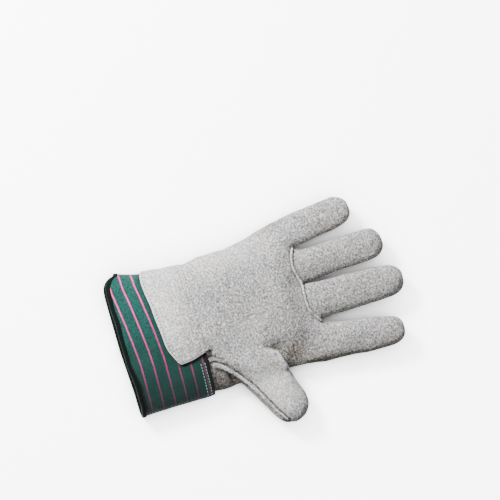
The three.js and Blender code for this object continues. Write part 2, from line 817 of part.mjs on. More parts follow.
function rimY(angle) {
  const halfRim = halfCuff + cuffFlare;
  const across = ovalPoint(angle, halfRim).x;
  const beyond = THREE.MathUtils.clamp(rimCorner - halfRim - across, 0, cornerShare * rimCorner);
  const bend = rimBend * smoothStep((across / halfRim - bendFrom) / (bendTo - bendFrom));
  return rimCorner - Math.sqrt(rimCorner ** 2 - beyond ** 2) + bend;
}

const turns = 44;
const turnAngles = Array.from({ length: turns }, (unused, i) => {
  const share = i / turns;
  return 2 * Math.PI * (share - 0.028 * Math.sin(4 * Math.PI * share));
});

function cuffGeometry() {
  const stations = [0, 0.12, 0.4, 0.7, 1];
  const rings = turnAngles.map((angle) => {
    const rim = rimY(angle) + clearance;
    const along = stations.map((share) => mix(rim, cuffLength, share));
    const outer = along.map((y) => new THREE.Vector3(...cuffPoint(angle, 0, y)));
    const inner = along.map((y) => new THREE.Vector3(...cuffPoint(angle, -cuffWall, y)));
    return [...outer, ...inner.reverse()];
  });
  return ringsGeometry(rings, true);
}

// Binding folded round the edge of the opening: a section like a U, outer face first
function bindingGeometry() {
  const outside = clearance + bindingWall;
  const inside = -cuffWall - clearance - bindingWall;
  const section = [
    [outside, bindingDepth],
    [outside, -0.2 * bindingWall],
    [-0.3 * cuffWall, -bindingWall],
    [-0.7 * cuffWall, -bindingWall],
    [inside, -0.2 * bindingWall],
    [inside, bindingDepth],
    [-cuffWall - clearance, bindingDepth],
    [-cuffWall - clearance, 0],
    [clearance, 0],
    [clearance, bindingDepth],
  ];
  const rings = turnAngles.map((angle) => {
    const rim = rimY(angle);
    const ring = section.map(([out, y]) => new THREE.Vector3(...cuffPoint(angle, out, rim + y)));
    return ring.reverse();
  });
  return ringsGeometry(rings, true);
}

// Points of the skin along the seam between a panel and its neighbours, from a first point
function seamLine(skin, panel, others, start, accepts) {
  const links = new Map();
  const addLink = (from, to) => {
    if (!links.has(from)) links.set(from, []);
    links.get(from).push(to);
  };
  for (const { a, b, faces } of edgesOf(skin).values()) {
    const names = faces.map((number) => skin.faces[number].panel);
    const isSeam = names.includes(panel) && names.some((name) => others.includes(name));
    if (isSeam && accepts(skin.points[a]) && accepts(skin.points[b])) {
      addLink(a, b);
      addLink(b, a);
    }
  }
  const line = [start];
  for (let next = start; next !== undefined;) {
    next = links.get(next).find((i) => !line.includes(i));
    if (next !== undefined) line.push(next);
  }
  return line;
}

// A strip of leather laid along a seam: width and shift are lengths at a share of the line
function weltGeometry(skin, normals, line, height, widthAt, shiftAt) {
  const sides = 8;
  const rings = line.map((i, number) => {
    const place = skin.points[i];
    const normal = normals[i];
    const before = skin.points[line[Math.max(number - 1, 0)]];
    const after = skin.points[line[Math.min(number + 1, line.length - 1)]];
    const ahead = after.clone().sub(before).normalize();
    const side = ahead.clone().cross(normal).normalize();
    const up = side.clone().cross(ahead).normalize();
    const share = number / (line.length - 1);
    const width = widthAt(share);
    const middle = place.clone()
      .addScaledVector(side, shiftAt(share))
      .addScaledVector(up, 1.5 * clearance + 0.5 * height);
    return Array.from({ length: sides }, (unused, k) => {
      const turn = 2 * Math.PI * (k + 0.5) / sides;
      return middle.clone()
        .addScaledVector(side, -0.5 * width * Math.cos(turn))
        .addScaledVector(up, 0.5 * height * Math.sin(turn));
    });
  });
  return ringsGeometry(rings, false);
}

const suede = { color: '#c9c6c3', roughness: 0.95, metalness: 0 };
const suedeShade = { color: '#b3b0ad', roughness: 0.95, metalness: 0 };
const canvas = { color: '#1f6a5c', roughness: 0.8, metalness: 0 };
const tape = { color: '#10241c', roughness: 0.7, metalness: 0 };

const glove = new THREE.Group();

function addMesh(name, geometry, finish) {
  const mesh = new THREE.Mesh(geometry, new THREE.MeshStandardMaterial(finish));
  mesh.name = name;
  glove.add(mesh);
}

const { wrist, bases, thumbTip } = addHand();
addTab(wrist);
addInsert(wrist);
const skin = smoothSkin();
seatOnCuff(skin);
shapeSkin(skin);
const skinNormals = normalsOf(skin);

for (const panel of new Set(skin.faces.map((face) => face.panel))) {
  const finish = panel.startsWith('fourchette') ? suedeShade : suede;
  addMesh(panel, panelGeometry(skin, skinNormals, panel), finish);
}

// Piping over the seam at the base of the two middle fingers
const firstWeb = bases.webs.findIndex((web) => web !== null);
const fingerFronts = ['ring_finger_front', 'middle_finger_front'];
const onPiping = (point) => point.z > pipingFloor * palmHeight;
const fingerSeam = seamLine(skin, 'palm', fingerFronts, bases.front[firstWeb], onPiping);
const piping = weltGeometry(skin, skinNormals, fingerSeam, pipingHeight, () => pipingWidth, () => 0);
addMesh('finger_welt', piping, suede);

// Welt on the lower side of the thumb seam, from the cuff almost to the tip
const tipPoint = skin.points[thumbTip];
const weltEnd = weltStop * digits.thumb.width;
const onWelt = (point) => point.y > cuffLength + 2 * clearance && point.distanceTo(tipPoint) > weltEnd;
const thumbSeam = seamLine(skin, 'palm', ['thumb_back', 'back'], wrist.front[lastColumn], onWelt);
const weltAt = (share) => mix(weltWidth, weltTipWidth, share ** 0.7);
const welt = weltGeometry(skin, skinNormals, thumbSeam, weltHeight, weltAt, (share) => 0.5 * weltAt(share));
addMesh('thumb_welt', welt, suede);

addMesh('cuff', cuffGeometry(), canvas);
addMesh('cuff_binding', bindingGeometry(), tape);

// The origin is the middle of the glove's outline, on the floor
const box = new THREE.Box3().setFromObject(glove);
const middle = box.getCenter(new THREE.Vector3());
glove.position.set(-middle.x, -middle.y, -box.min.z);

export default glove;
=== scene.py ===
import math
from collections import namedtuple

import bmesh
import bpy
from bpy.props import FloatProperty, FloatVectorProperty, IntProperty, PointerProperty
from mathutils import Matrix, Vector, noise
from mathutils.bvhtree import BVHTree
from mathutils.kdtree import KDTree


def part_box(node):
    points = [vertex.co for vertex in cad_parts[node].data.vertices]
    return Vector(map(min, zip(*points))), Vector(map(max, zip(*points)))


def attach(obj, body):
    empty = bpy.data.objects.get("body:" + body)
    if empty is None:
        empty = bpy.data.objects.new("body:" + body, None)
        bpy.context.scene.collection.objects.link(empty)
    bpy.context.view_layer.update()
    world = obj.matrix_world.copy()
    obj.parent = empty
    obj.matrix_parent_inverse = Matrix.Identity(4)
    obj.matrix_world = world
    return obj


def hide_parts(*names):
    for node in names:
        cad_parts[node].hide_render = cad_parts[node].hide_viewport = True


bl_info = {
    "name": "Rigger Glove",
    "version": (1, 0, 0),
    "blender": (4, 5, 0),
    "location": "View3D > Sidebar > Glove",
    "description": "Dresses a right-hand split-leather rigger glove with a striped safety cuff",
    "category": "Object",
}

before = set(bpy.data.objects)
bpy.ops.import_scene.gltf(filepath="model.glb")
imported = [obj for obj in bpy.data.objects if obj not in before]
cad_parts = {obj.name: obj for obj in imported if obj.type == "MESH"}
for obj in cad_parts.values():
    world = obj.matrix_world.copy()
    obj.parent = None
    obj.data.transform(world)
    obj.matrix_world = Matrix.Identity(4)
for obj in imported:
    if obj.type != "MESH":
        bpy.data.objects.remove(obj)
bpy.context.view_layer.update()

MM = 0.001
UP = Vector((0, 0, 1))

# The stripes are counted from the opening, which lies a little outside the canvas, in the
# binding. The other end of the canvas is at the wrist.
CUFF_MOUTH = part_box("cuff")[0][1] - 0.4 * MM
CUFF_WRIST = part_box("cuff")[1][1]

# A panel turns by more than this at its cut edges, and by less on its skin.
RIM_TURN = math.radians(52)

# Beyond this line, toward the opening, the palm's edge is the hem of its tab.
TAB_LINE = -60 * MM

# Heights between which an effect on the leather sets in: free of the floor, where the hide
# may move, painted with patches of shade and light, and on the upper skin, where it folds.
FREE = (0.6 * MM, 5 * MM)
SHADING_HEIGHTS = (5 * MM, 11 * MM)
UPPER = (9 * MM, 17 * MM)

# The unevenness of the hide comes in broad and fine swells, the fine ones lower.
BROAD_SWELL = 17 * MM
FINE_SWELL = 6 * MM
FINE_SHARE = 0.3

# Without a seed of its own, this noise differs from run to run.
noise.seed_set(7)

# Stitches sink into the leather or the cloth by a share of the thread, and bend down at
# their ends by another.
SUNK = 0.25
STITCH_BEND = 0.35


def linear(code):
    """An sRGB hex colour as linear red, green and blue."""
    parts = [int(code[i:i + 2], 16) / 255 for i in (1, 3, 5)]
    return tuple(c / 12.92 if c <= 0.04045 else ((c + 0.055) / 1.055) ** 2.4 for c in parts)


def colour(name, description, code):
    """A colour property with an sRGB hex default."""
    return FloatVectorProperty(name=name, description=description, subtype="COLOR", size=3,
                               min=0, max=1, default=linear(code))


def length(name, description, millimetres):
    """A length property with a default in millimetres."""
    return FloatProperty(name=name, description=description, default=millimetres * MM,
                         min=0, unit="LENGTH", precision=5)


class GLOVE_PG_sizes(bpy.types.PropertyGroup):
    """Sizes of the trim, the nap and the folds"""
    stripe_pitch: length("Stripe pitch", "From one cuff stripe to the next", 10.8)
    first_stripe: length("First stripe", "From the cuff opening to the first stripe", 11.4)
    stripe_bend: length("Stripe bend", "Bend of the stripes at the little finger's side", 7.0)
    stripe_width: length("Stripe width", "Width of a cuff stripe", 1.15)
    edge_band: length("Edge band", "Width of the cuff's dark selvedge at the wrist", 4.0)
    thread: length("Thread", "Thickness of the sewing thread", 0.7)
    leather_stitch: length("Leather stitch", "Length of a stitch in the leather", 1.5)
    leather_pitch: length("Leather stitch pitch", "From one leather stitch to the next", 3.0)
    back_stitch: length("Back stitch", "Length of a stitch on the back of the hand", 2.4)
    back_pitch: length("Back stitch pitch", "From one back stitch to the next", 3.2)
    cuff_stitch: length("Cuff stitch", "Length of a stitch in the cuff", 1.9)
    cuff_pitch: length("Cuff stitch pitch", "From one cuff stitch to the next", 2.7)
    hem_row: length("Hem row", "From the edge of the leather tab to its stitches", 2.2)
    ripple: length("Ripple", "Height of the soft unevenness of the hide", 0.9)
    smoothness: IntProperty(name="Smoothness", description="Subdivision levels of the leather",
                            default=2, min=1, max=3)


class GLOVE_PG_colours(bpy.types.PropertyGroup):
    """Colours of the leather, the cuff and the threads"""
    suede: colour("Suede", "Brushed nap in the light", "#c2bfbb")
    suede_cool: colour("Cool suede", "Bluish cast of the middle of the palm", "#b3b7c6")
    suede_tan: colour("Tan suede", "Tan cast of single tufts", "#cbbfa9")
    # Painted brownish shade of the low sides and of the dark patches.
    suede_shade: colour("Warm suede", "Brownish cast of the low sides", "#948979")
    # Also the painted light of the pale patches and the painted highlight on the tab's hem.
    suede_fibre_and_highlight: colour("Suede fibre", "Single fibres and cut edges", "#f3f1ed")
    seam: colour("Seam", "Shade in the seams", "#2e2a26")
    canvas_light: colour("Canvas", "Teal green of the cuff's yarns", "#0a4c46")
    # Also the painted shade toward the thumb's side, on the low sides and beside the tab.
    canvas_deep_and_shade: colour("Canvas depth", "Between the threads of the cuff", "#04221d")
    stripe: colour("Stripe", "Pink cuff stripes", "#dc3a92")
    # Also the painted shade inside the cuff's opening.
    tape: colour("Tape", "Dark binding of the cuff", "#030c08")
    grey_thread: colour("Grey thread", "Thread of the leather", "#55504a")
    white_thread: colour("White thread", "Thread of the back of the hand", "#ecebe6")
    mint_thread: colour("Mint thread", "Thread of the cuff", "#86bcab")


def sizes():
    """The sizes that the panel shows."""
    return bpy.context.scene.glove_sizes


def colours():
    """The colours that the panel shows."""
    return bpy.context.scene.glove_colours


# Folds of the hide in millimetres: the line that each follows, how far the hide drops on the
# left of the line, how far that drop reaches, how high the hide stands on the right and how
# dark the painted shade at the foot of the fold is.

Fold = namedtuple("Fold", "line drop reach lip shade")
FOLDS = [
    Fold([(21.1, -11.3), (23.5, -4.4), (27.5, 2.9), (34.5, 4.8), (43.4, 8.7)],
         4.2, 12.0, 1.6, 0.85),
    Fold([(24.0, -1.5), (29.0, -2.6), (34.0, -1.0)], 0.5, 2.0, 0.4, 0.1),
]

# Where across a fold's line, in millimetres, the hide drops and its painted shade begins,
# where the raised lip and the painted highlight on its crest lie, how wide these are, and how
# bright that highlight is. Faces nearer than FINE_BESIDE are made smaller, so that they can
# follow the fold.
DROP_FROM, DROP_TO = -0.6, 1.6
SHADE_FROM, SHADE_TO = -0.3, 0.9
LIP_AT, LIP_WIDTH = -2.2, 2.2
CREST_AT, CREST_WIDTH, CREST_HIGHLIGHT = -1.6, 1.8, 0.6
FINE_BESIDE = 4.5

# Patches of the hide in millimetres: painted shade in the hollows and on the sides turned
# from the light, and, with a depth below 0, painted light.

Patch = namedtuple("Patch", "x y across along depth")
PATCHES = [
    Patch(33, 16, 10, 9, 0.8),
    Patch(21, 27, 12, 9, 0.5),
    Patch(36, 80, 14, 45, 0.22),
    Patch(-77, 65, 11, 38, 0.18),
    Patch(-12, 26, 30, 9, 0.2),
    Patch(46, 30, 6, 18, 0.4),
    Patch(49, 40, 6, 22, 0.9),
    Patch(53, 78, 6, 30, 0.8),
    Patch(38, -54, 14, 10, 0.55),
    Patch(-45, -95, 46, 27, -0.85),
    Patch(56, -10, 19, 22, -0.8),
    Patch(-70, -20, 14, 60, -0.4),
]


def soft_step(low, high, value):
    """0 up to the low end, 1 from the high end on and a soft rise between."""
    share = min(max((value - low) / (high - low), 0.0), 1.0)
    return share * share * (3 - 2 * share)


def fold_offset(point, fold):
    """Signed distance from a fold's line, positive on its left, and the way along it, as
    shares of its whole length."""
    ends = [Vector(end) * MM for end in fold.line]
    whole = sum((b - a).length for a, b in zip(ends, ends[1:]))
    best = None
    travelled = 0.0
    for k, (a, b) in enumerate(zip(ends, ends[1:])):
        line = b - a
        share = (point.xy - a).dot(line) / line.length_squared
        inside = min(max(share, 0.0), 1.0)
        away = (point.xy - a - line * inside).length
        side = line.x * (point.y - a.y) - line.y * (point.x - a.x)
        beyond = max(share - 1, 0) if k == len(ends) - 2 else min(share, 0) if k == 0 else 0
        if best is None or away < best[0]:
            along = (travelled + (inside + beyond) * line.length) / whole
            best = (away, math.copysign(away, side), along)
        travelled += line.length
    return best[1], best[2]


def folds_at(point):
    """The folds near a point, each with the distance in millimetres and its strength there,
    which fades in and out along the fold and a little past its ends."""
    for fold in FOLDS:
        offset, along = fold_offset(point, fold)
        if -0.3 < along < 1.3 and abs(offset) < 3 * fold.reach * MM:
            fade = soft_step(-0.1, 0.45, along) * (1 - soft_step(1.0, 1.25, along))
            yield fold, offset / MM, fade


def fold_drop(point):
    """How far the folds press the upper skin down at a point."""
    drop = 0.0
    for fold, offset, fade in folds_at(point):
        step = soft_step(DROP_FROM, DROP_TO, offset)
        step *= math.exp(-max(offset - DROP_TO, 0) / fold.reach)
        lip = math.exp(-((offset - LIP_AT) / LIP_WIDTH) ** 2)
        drop += fade * MM * (fold.drop * step - fold.lip * lip)
    return drop


def painted_shading_at(point):
    """How much painted shade the patches and the feet of the folds put on the hide at a point,
    or below 0 how much painted light the patches and the crests of the folds put on it.
    """
    depth = 0.0
    for painted_shading in PATCHES:
        across = (point.x / MM - painted_shading.x) / painted_shading.across
        along = (point.y / MM - painted_shading.y) / painted_shading.along
        depth += painted_shading.depth * math.exp(-across ** 2 - along ** 2)
    # Painted shade at the foot of each fold, and a painted highlight on its crest.
    for fold, offset, fade in folds_at(point):
        foot = soft_step(SHADE_FROM, SHADE_TO, offset)
        foot *= math.exp(-max(offset, 0) * 2 / fold.reach)
        crest = math.exp(-((offset - CREST_AT) / CREST_WIDTH) ** 2)
        depth += fade * (fold.shade * foot - CREST_HIGHLIGHT * crest)
    return max(min(depth, 1.0), -1.0)


def settle(point):
    """A point of the smooth glove, moved with the hide's folds and unevenness.
    Neighbouring pieces move together, so their seams stay closed."""
    free = soft_step(*FREE, point.z)
    if free == 0:
        return point.copy()
    ripple = sizes().ripple
    shift = noise.noise_vector(point / BROAD_SWELL) * ripple
    shift += noise.noise_vector(point / FINE_SWELL + Vector((7, 3, 1))) * FINE_SHARE * ripple
    shift.z -= soft_step(*UPPER, point.z) * fold_drop(point)
    return point + free * shift


# Modelling helpers.

def only(piece):
    """Make one piece the only selected and active object."""
    bpy.ops.object.select_all(action="DESELECT")
    piece.select_set(True)
    bpy.context.view_layer.objects.active = piece
    return piece


def copy_of(node, name):
    """A copy of a node's mesh as a new piece, merged and turned back to quads."""
    piece = bpy.data.objects.new(name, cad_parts[node].data.copy())
    piece.data.name = name
    piece.data.materials.clear()
    bpy.context.scene.collection.objects.link(piece)
    only(piece)
    bpy.ops.object.mode_set(mode="EDIT")
    bpy.ops.mesh.select_all(action="SELECT")
    bpy.ops.mesh.remove_doubles(threshold=1e-6)
    bpy.ops.mesh.tris_convert_to_quads(face_threshold=1.2, shape_threshold=1.2)
    bpy.ops.object.mode_set(mode="OBJECT")
    return piece


def crease_rims(piece, sharpness):
    """Crease the cut edges of a panel, so that smoothing rounds them only a little."""
    shape = bmesh.new()
    shape.from_mesh(piece.data)
    layers = shape.edges.layers.float
    layer = layers.get("crease_edge") or layers.new("crease_edge")
    for edge in shape.edges:
        if edge.is_manifold and edge.calc_face_angle() > RIM_TURN:
            edge[layer] = sharpness
    shape.to_mesh(piece.data)
    shape.free()


def smooth(piece, levels):
    """Subdivide a piece for good."""
    only(piece)
    modifier = piece.modifiers.new("Smooth", "SUBSURF")
    modifier.levels = modifier.render_levels = levels
    bpy.ops.object.modifier_apply(modifier=modifier.name)


def hug(piece, surface, gap, share):
    """Draw a piece closer to a surface where it stands off it by more than a gap."""
    for vertex in piece.data.vertices:
        place, _, _, away = surface.find_nearest(vertex.co)
        if away > gap:
            vertex.co = place.lerp(vertex.co, (gap + (away - gap) * share) / away)


def refine_folds(piece):
    """Give a piece smaller faces beside the folds."""
    only(piece)
    bpy.ops.object.mode_set(mode="EDIT")
    bpy.ops.mesh.select_mode(type="FACE")
    bpy.ops.mesh.select_all(action="DESELECT")
    bpy.ops.object.mode_set(mode="OBJECT")
    for face in piece.data.polygons:
        near = [abs(offset) < FINE_BESIDE for _, offset, fade in folds_at(face.center)
                if fade > 0]
        face.select = face.center.z > UPPER[0] and any(near)
    bpy.ops.object.mode_set(mode="EDIT")
    bpy.ops.mesh.subdivide(number_cuts=2, smoothness=0)
    bpy.ops.object.mode_set(mode="OBJECT")


def settle_piece(piece):
    """Move a piece's points with the hide's folds and unevenness."""
    for vertex in piece.data.vertices:
        vertex.co = settle(vertex.co)
    piece.data.update()


def sharp_edges(mesh):
    """The cut edges of a panel, as pairs of points with the normal of the face above."""
    shape = bmesh.new()
    shape.from_mesh(mesh)
    out = []
    for edge in shape.edges:
        if edge.is_manifold and edge.calc_face_angle() > RIM_TURN:
            upper = max(edge.link_faces, key=lambda face: face.normal.z)
            out.append((edge.verts[0].co.copy(), edge.verts[1].co.copy(), upper.normal.copy()))
    shape.free()
    return out


def tree_of(lines, parts=5):
    """Closely spaced points of some edges, for measuring how near a vertex is."""
    places = [a.lerp(b, k / parts) for a, b, _ in lines for k in range(parts)]
    tree = KDTree(len(places))
    for k, place in enumerate(places):
        tree.insert(place, k)
    tree.balance()
    return tree


def mark(piece, name, value_at):
    """Give a piece an attribute with a value for each vertex."""
    layer = piece.data.attributes.new(name, "FLOAT", "POINT")
    layer.data.foreach_set("value", [value_at(v.co) for v in piece.data.vertices])


def hem_lines(mesh):
    """The edge of the palm's tab where it lies on the cuff."""
    return [line for line in sharp_edges(mesh)
            if line[0].y < TAB_LINE and line[0].z > 8 * MM]


def nearness(tree, point, reach):
    """1 on a line, falling to 0 a little past its reach."""
    return math.exp(-(tree.find(point)[2] / reach) ** 2)


def finish(piece, material, nodes=()):
    """Shade a piece smooth, and give it its material and the nodes it stands for."""
    only(piece)
    bpy.ops.object.shade_smooth()
    piece.data.materials.append(material)
    if nodes:
        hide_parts(*nodes)
    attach(piece, "root")
    return piece


def measured(node, measure):
    """What a function finds on a merged copy of a node, which is then removed."""
    guide = copy_of(node, node + "_guide")
    found = measure(guide.data)
    bpy.data.objects.remove(guide, do_unlink=True)
    return found


def surface_of(name):
    """A piece's surface, for laying stitches or a tape on."""
    mesh = bpy.data.objects[name].data
    return BVHTree.FromPolygons([v.co for v in mesh.vertices],
                                [p.vertices for p in mesh.polygons])


def spaced(points, pitch):
    """Points at an even pitch along a line."""
    steps = [(b - a).length for a, b in zip(points, points[1:])]
    count = max(1, round(sum(steps) / pitch))
    gap = sum(steps) / count
    out = []
    travelled = 0.0
    target = gap / 2
    for start, end, step in zip(points, points[1:], steps):
        while target <= travelled + step and len(out) < count:
            out.append(start.lerp(end, (target - travelled) / step))
            target += gap
        travelled += step
    return out


def laid_on(points, surface, outward=UP, height=60 * MM):
    """Points laid on a surface from outside, each with the surface's normal."""
    out = []
    for point in points:
        place, normal, _, _ = surface.ray_cast(point + outward * height, -outward)
        if place is not None:
            out.append((place, normal))
    return out


def stitch_shape(stitch, thickness):
    """One stitch: a short rounded length of thread lying along X."""
    bpy.ops.object.select_all(action="DESELECT")
    bpy.ops.mesh.primitive_uv_sphere_add(segments=8, ring_count=7, radius=thickness / 2)
    piece = bpy.context.active_object
    bpy.ops.object.mode_set(mode="EDIT")
    bpy.ops.mesh.select_all(action="SELECT")
    bpy.ops.transform.rotate(value=math.pi / 2, orient_axis="Y", center_override=(0, 0, 0))
    bpy.ops.object.mode_set(mode="OBJECT")
    half = (stitch - thickness) / 2
    for vertex in piece.data.vertices:
        vertex.co.x += math.copysign(half, vertex.co.x) if abs(vertex.co.x) > 1e-7 else 0
    corners = [v.co.copy() for v in piece.data.vertices]
    faces = [tuple(p.vertices) for p in piece.data.polygons]
    bpy.data.objects.remove(piece, do_unlink=True)
    return corners, faces


def stitch_row(name, places, stitch, thickness):
    """A row of stitches as one piece, each lying along the row on the surface."""
    corners, faces = stitch_shape(stitch, thickness)
    vertices = []
    polygons = []
    for k, (place, normal) in enumerate(places):
        before = places[max(k - 1, 0)][0]
        after = places[min(k + 1, len(places) - 1)][0]
        along = (after - before).normalized()
        side = normal.cross(along).normalized()
        up = along.cross(side)
        turn = Matrix((along, side, up)).transposed().to_4x4()
        base = place + up * thickness * (0.5 - SUNK)
        first = len(vertices)
        for corner in corners:
            bend = corner.copy()
            bend.z -= STITCH_BEND * thickness * (2 * corner.x / stitch) ** 2
            vertices.append(base + turn @ bend)
        polygons.extend(tuple(first + v for v in face) for face in faces)
    mesh = bpy.data.meshes.new(name)
    mesh.from_pydata(vertices, [], polygons)
    mesh.update()
    piece = bpy.data.objects.new(name, mesh)
    bpy.context.scene.collection.objects.link(piece)
    return piece


def rim_of(mesh, keep, up=1, facing=0.35):
    """The outer cut edge of a panel where it faces up, or down with up at -1, as points in
    order, each with the way into the panel."""
    shape = bmesh.new()
    shape.from_mesh(mesh)
    links = {}
    inward = {}
    for edge in shape.edges:
        if not edge.is_manifold or edge.calc_face_angle() < RIM_TURN:
            continue
        upper = max(edge.link_faces, key=lambda face: up * face.normal.z)
        middle = (edge.verts[0].co + edge.verts[1].co) / 2
        if up * upper.normal.z < facing or not keep(middle):
            continue
        way = upper.calc_center_median() - middle
        for vertex, other in (edge.verts, reversed(edge.verts)):
            links.setdefault(vertex.index, []).append(other.index)
            inward[vertex.index] = inward.get(vertex.index, Vector()) + way
    shape.verts.ensure_lookup_table()
    ends = [v for v, others in links.items() if len(others) == 1]
    chains = []
    seen = set()
    for end in sorted(ends):
        if end in seen:
            continue
        chain = [end]
        seen.add(end)
        while True:
            onward = [v for v in links[chain[-1]] if v not in seen]
            if not onward:
                break
            chain.append(onward[0])
            seen.add(onward[0])
        chains.append(chain)
    out = []
    for v in max(chains, key=len):
        way = inward[v].copy()
        way.z = 0
        out.append((shape.verts[v].co.copy(), way.normalized()))
    shape.free()
    return out


# Materials.

# A wave texture of scale 1 repeats after this length.
WAVE = 0.314


def add(tree, kind, *values, output=0, **rest):
    """Add a node and return one of its outputs. The values, which may be sockets, fill its
    inputs in order. Keys in small letters are its settings, and others name an input, or
    number it after an underscore."""
    node = tree.nodes.new(kind)
    inputs = list(enumerate(values))
    for key, value in rest.items():
        if key.islower():
            setattr(node, key, value)
        else:
            inputs.append((int(key[1:]) if key[0] == "_" else key.replace("_", " "), value))
    for key, value in inputs:
        slot = node.inputs[key]
        if isinstance(value, bpy.types.NodeSocket):
            tree.links.new(value, slot)
        else:
            slot.default_value = (*value[:3], 1) if slot.type == "RGBA" else value
    return node.outputs[output]


def new_material(name, **surface):
    """A material with one shader, given with the shader's constant values."""
    material = bpy.data.materials.new(name)
    material.use_nodes = True
    tree = material.node_tree
    shader = tree.nodes["Principled BSDF"]
    for key, value in surface.items():
        shader.inputs[key.replace("_", " ")].default_value = value
    return material, tree, shader


def scaled(tone, share):
    """A colour made darker or brighter."""
    return [c * share for c in tone]


def suede(name, light, top_shade=0.0, cool=0.0):
    """Chrome split cowhide, its flesh side brushed to a nap: dull, with soft pale fibres that
    catch the light, darker hollows between them and cloudy patches from the tannage."""
    palette = colours()
    material, tree, shader = new_material(name, Roughness=0.93, IOR=1.45,
                                          Specular_IOR_Level=0.15,
                                          Sheen_Weight=0.08, Sheen_Roughness=0.5)
    place = add(tree, "ShaderNodeTexCoord", output="Object")
    height = add(tree, "ShaderNodeSeparateXYZ", place, output="Z")
    # Fibres of the brushed nap, drawn 1.6 mm wide because single ones don't show, the tint
    # and the tufts that they gather in, and clouds from the tannage.
    fibre, tint, tuft, cloud = (
        add(tree, "ShaderNodeTexNoise", Vector=place, Scale=1 / (width * MM), Detail=detail,
            Roughness=roughness)
        for width, detail, roughness in ((1.6, 4, 0.85), (2.4, 2, 0.7), (4.5, 2, 0.6),
                                         (24, 3, 0.6)))
    painted_shading, cut, seam = (add(tree, "ShaderNodeAttribute", attribute_name=layer, output="Fac")
                        for layer in ("painted_shading", "cut", "seam"))
    bright, bluish, tan, shade_tone = (
        scaled(tone, light)
        for tone in (palette.suede, palette.suede_cool, palette.suede_tan,
                     palette.suede_shade))
    # Painted brownish shade on the low sides, more than on the palm and the back.
    painted_side_shade = add(tree, "ShaderNodeMath",
               add(tree, "ShaderNodeMapRange", height, 6 * MM, 17 * MM, 0.95, top_shade),
               add(tree, "ShaderNodeMapRange", height, 1 * MM, 6 * MM, 0.15, 1.0),
               operation="MULTIPLY")
    # Above 0 the patches are painted shade, and below it painted light, paler and brighter.
    dark = add(tree, "ShaderNodeMapRange", painted_shading, 0.0, 1.0, 0.0, 1.0)
    pale = add(tree, "ShaderNodeMapRange", painted_shading, 0.0, -1.0, 0.0, 0.3)
    lift = add(tree, "ShaderNodeMapRange", painted_shading, 0.0, -1.0, 1.0, 1.7)
    nap = add(tree, "ShaderNodeMath",
              add(tree, "ShaderNodeMapRange", fibre, 0.4, 0.6, 0.26, 1.5),
              add(tree, "ShaderNodeMapRange", tuft, 0.32, 0.6, 0.82, 1.06),
              operation="MULTIPLY")
    shade = add(tree, "ShaderNodeMath", nap, lift, operation="MULTIPLY")
    surface = bright
    # Clouds are darker and bluish, and tufts lean bluish or tan where the tannage took
    # unevenly. Painted brownish shade on the low sides and in the dark patches comes over them.
    for share, tone in (
        (add(tree, "ShaderNodeMapRange", cloud, 0.35, 0.65, 0.0, 1.0), scaled(bright, 0.8)),
        (add(tree, "ShaderNodeMapRange", cloud, 0.4, 0.7, 0.0, cool), bluish),
        (add(tree, "ShaderNodeMapRange", tint, 0.5, 0.62, 0.0, 0.45), bluish),
        (add(tree, "ShaderNodeMapRange", tint, 0.38, 0.5, 0.45, 0.0), tan),
        (painted_side_shade, shade_tone),
        (dark, scaled(shade_tone, 0.45)),
    ):
        surface = add(tree, "ShaderNodeMix", share, data_type="RGBA", output=2,
                      _6=surface, _7=tone)
    surface = add(tree, "ShaderNodeVectorMath", surface, Scale=shade, operation="SCALE")
    # Painted light on the pale patches, pale tips of fibres, a painted highlight on the cut
    # edge of the tab's hem, and painted shade in the seams.
    for share, tone in (
        (pale, palette.suede_fibre_and_highlight),
        (add(tree, "ShaderNodeMapRange", fibre, 0.55, 0.66, 0.0, 0.7 * light),
         palette.suede_fibre_and_highlight),
        (cut, palette.suede_fibre_and_highlight),
        (seam, palette.seam),
    ):
        surface = add(tree, "ShaderNodeMix", share, data_type="RGBA", output=2,
                      _6=surface, _7=tone)
    tree.links.new(surface, shader.inputs["Base Color"])
    bump = add(tree, "ShaderNodeBump", Strength=1.0, Distance=0.5 * MM, Height=nap)
    tree.links.new(bump, shader.inputs["Normal"])
    return material


